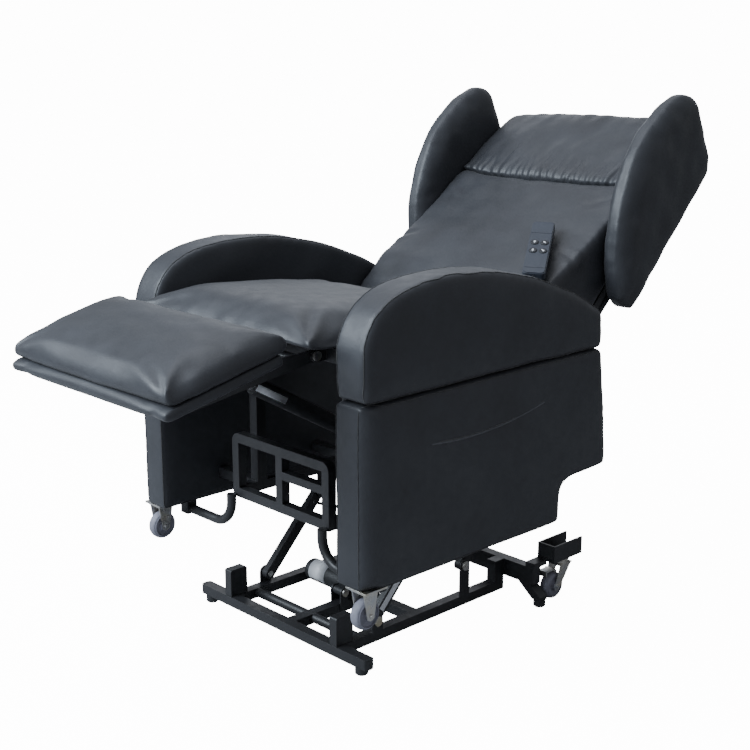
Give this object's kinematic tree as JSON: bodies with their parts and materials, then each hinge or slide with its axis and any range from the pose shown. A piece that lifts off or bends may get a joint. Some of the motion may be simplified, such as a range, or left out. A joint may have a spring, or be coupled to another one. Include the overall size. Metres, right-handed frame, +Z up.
{
  "type": "lift recliner chair",
  "caption": "Powered lift recliner armchair with winged reclining back, padded side panels, raised footrest and a linked lifting base on small castors.",
  "frame": {"origin": "floor level, centre of the bounding box in plan", "axes": "+Z up, +Y towards the rear of the chair, so the chair faces -Y; +X is the seated person's left"},
  "size_m": [0.745, 1.5403, 1.1358],
  "materials": {
    "black_steel": "satin powder coat",
    "black_plastic": "fine texture",
    "zinc_plate": "zinc plated",
    "charcoal_leather": "smooth coated fabric, satin",
    "webbing": "woven",
    "strap_blue": "woven",
    "grey_tread": "matte"
  },
  "bodies": {
    "base": {"base_front_bar": "black_steel", "base_end_caps": "black_plastic", "base_posts": "black_steel", "base_side_rails": "black_steel", "base_cross_members": "black_steel", "base_mid_rail": "black_steel", "base_rear_legs": "black_steel", "base_feet": "black_plastic", "rear_caster_brackets": "black_steel", "lower_pivot_pins": "zinc_plate"},
    "lift_front": {"lift_front_links": "black_steel"},
    "lift_rear": {"lift_rear_links": "black_steel"},
    "lift_actuator": {"lift_motor": "black_plastic", "lift_actuator_tube": "black_steel"},
    "lift_rod": {"lift_actuator_rod": "zinc_plate"},
    "chassis": {"upper_pivot_pins": "zinc_plate", "chassis_front_frame": "black_steel", "chassis_rails": "black_steel", "caster_outriggers": "black_steel", "control_box": "black_plastic", "side_panel_left": "charcoal_leather", "side_panel_right": "charcoal_leather", "pocket_trims": "charcoal_leather", "pull_strap": "strap_blue", "armrest_dowels": "zinc_plate", "seat_frame": "black_steel", "seat_webbing": "webbing", "seat_cushion": "charcoal_leather", "back_hinge_pins": "zinc_plate", "footrest_pins": "zinc_plate", "front_caster_forks": "zinc_plate"},
    "armrest_l": {"armrest_left": "charcoal_leather"},
    "armrest_r": {"armrest_right": "charcoal_leather"},
    "back": {"back_frame": "black_steel", "back_webbing": "webbing", "back_rear_panel": "charcoal_leather", "back_cushion": "charcoal_leather", "head_cushion": "charcoal_leather", "wing_left": "charcoal_leather", "wing_right": "charcoal_leather", "handset_body": "black_plastic", "handset_cable": "black_plastic"},
    "footrest": {"footrest_board": "charcoal_leather", "footrest_pad": "charcoal_leather", "footrest_arms": "black_steel"},
    "recline_actuator": {"recline_motor": "black_plastic"},
    "recline_slide": {"recline_rod": "zinc_plate"},
    "front_wheel_l": {"front_wheel_left": "grey_tread"},
    "front_wheel_r": {"front_wheel_right": "grey_tread"},
    "rear_swivel_l": {"rear_fork_left": "zinc_plate"},
    "rear_swivel_r": {"rear_fork_right": "zinc_plate"},
    "rear_wheel_l": {"rear_wheel_left": "grey_tread"},
    "rear_wheel_r": {"rear_wheel_right": "grey_tread"},
    "brake_l": {"brake_pedal_left": "zinc_plate"},
    "brake_r": {"brake_pedal_right": "zinc_plate"},
    "key_raise": {"button_raise": "black_plastic"},
    "key_lower": {"button_lower": "black_plastic"},
    "key_recline": {"button_recline": "black_plastic"},
    "key_upright": {"button_upright": "black_plastic"}
  },
  "joints": [
    {"name": "lift", "type": "hinge", "parent": "base", "child": "lift_front", "pos_m": [0, -0.2034, 0.062], "axis": [1, 0, 0], "range_deg": [-43.35, 20]},
    {"name": "body_level", "type": "hinge", "parent": "lift_front", "child": "chassis", "pos_m": [0, -0.04852, 0.22521], "axis": [1, 0, 0], "range_deg": [-20, 43.4]},
    {"name": "lift_rear_swing", "type": "hinge", "parent": "base", "child": "lift_rear", "pos_m": [0, 0.0666, 0.11], "axis": [1, 0, 0], "range_deg": [-43.4, 20]},
    {"name": "lift_actuator_tilt", "type": "hinge", "parent": "base", "child": "lift_actuator", "pos_m": [0.017, -0.1564, 0.064], "axis": [1, 0, 0], "range_deg": [-2.7, 1.3]},
    {"name": "lift_rod_extend", "type": "slide", "parent": "lift_actuator", "child": "lift_rod", "axis": [0, 0.9997, -0.0236], "range_m": [-0.0422, 0.0195]},
    {"name": "recline", "type": "hinge", "parent": "chassis", "child": "back", "pos_m": [0, 0.1976, 0.56], "axis": [-1, 0, 0], "range_deg": [-43.9, 6]},
    {"name": "footrest_raise", "type": "hinge", "parent": "chassis", "child": "footrest", "pos_m": [0, -0.3914, 0.672], "axis": [-1, 0, 0], "range_deg": [-75, 10.3]},
    {"name": "recline_actuator_tilt", "type": "hinge", "parent": "chassis", "child": "recline_actuator", "pos_m": [-0.04, 0.0236, 0.35], "axis": [-1, 0, 0], "range_deg": [-0.1, 0.55]},
    {"name": "recline_rod_extend", "type": "slide", "parent": "recline_actuator", "child": "recline_slide", "axis": [0, -0.87, 0.4931], "range_m": [-0.109, 0.015]},
    {"name": "armrest_l_lift", "type": "slide", "parent": "chassis", "child": "armrest_l", "axis": [0, 0, 1], "range_m": [0, 0.045]},
    {"name": "armrest_r_lift", "type": "slide", "parent": "chassis", "child": "armrest_r", "axis": [0, 0, 1], "range_m": [0, 0.045]},
    {"name": "front_wheel_l_spin", "type": "hinge", "parent": "chassis", "child": "front_wheel_l", "pos_m": [0.335, -0.3794, 0.1825], "axis": [1, 0, 0], "continuous": true},
    {"name": "front_wheel_r_spin", "type": "hinge", "parent": "chassis", "child": "front_wheel_r", "pos_m": [-0.335, -0.3794, 0.1825], "axis": [1, 0, 0], "continuous": true},
    {"name": "rear_swivel_l_turn", "type": "hinge", "parent": "base", "child": "rear_swivel_l", "pos_m": [0.277, 0.2936, 0.06], "axis": [0, 0, 1], "continuous": true},
    {"name": "rear_wheel_l_spin", "type": "hinge", "parent": "rear_swivel_l", "child": "rear_wheel_l", "pos_m": [0.277, 0.2636, 0.0345], "axis": [1, 0, 0], "continuous": true},
    {"name": "brake_l_press", "type": "hinge", "parent": "rear_swivel_l", "child": "brake_l", "pos_m": [0.277, 0.2596, 0.073], "axis": [1, 0, 0], "range_deg": [0, 12]},
    {"name": "rear_swivel_r_turn", "type": "hinge", "parent": "base", "child": "rear_swivel_r", "pos_m": [-0.277, 0.2936, 0.06], "axis": [0, 0, 1], "continuous": true},
    {"name": "rear_wheel_r_spin", "type": "hinge", "parent": "rear_swivel_r", "child": "rear_wheel_r", "pos_m": [-0.277, 0.2636, 0.0345], "axis": [1, 0, 0], "continuous": true},
    {"name": "brake_r_press", "type": "hinge", "parent": "rear_swivel_r", "child": "brake_r", "pos_m": [-0.277, 0.2596, 0.073], "axis": [1, 0, 0], "range_deg": [0, 12]},
    {"name": "press_raise", "type": "slide", "parent": "back", "child": "key_raise", "axis": [-0.2728, 0.381, -0.8834], "range_m": [0, 0.0015]},
    {"name": "press_lower", "type": "slide", "parent": "back", "child": "key_lower", "axis": [-0.2728, 0.381, -0.8834], "range_m": [0, 0.0015]},
    {"name": "press_recline", "type": "slide", "parent": "back", "child": "key_recline", "axis": [-0.2728, 0.381, -0.8834], "range_m": [0, 0.0015]},
    {"name": "press_upright", "type": "slide", "parent": "back", "child": "key_upright", "axis": [-0.2728, 0.381, -0.8834], "range_m": [0, 0.0015]}
  ],
  "couplings": [
    {"joint": "body_level", "follows": "lift", "ratio": -1},
    {"joint": "lift_rear_swing", "follows": "lift", "ratio": 1},
    {"joint": "lift_actuator_tilt", "follows": "lift", "ratio": 0.06},
    {"joint": "lift_rod_extend", "follows": "lift", "m_per_rad": 0.0556},
    {"joint": "footrest_raise", "follows": "recline", "ratio": 1.7},
    {"joint": "recline_actuator_tilt", "follows": "recline", "ratio": -0.012},
    {"joint": "recline_rod_extend", "follows": "recline", "m_per_rad": 0.1415}
  ]
}
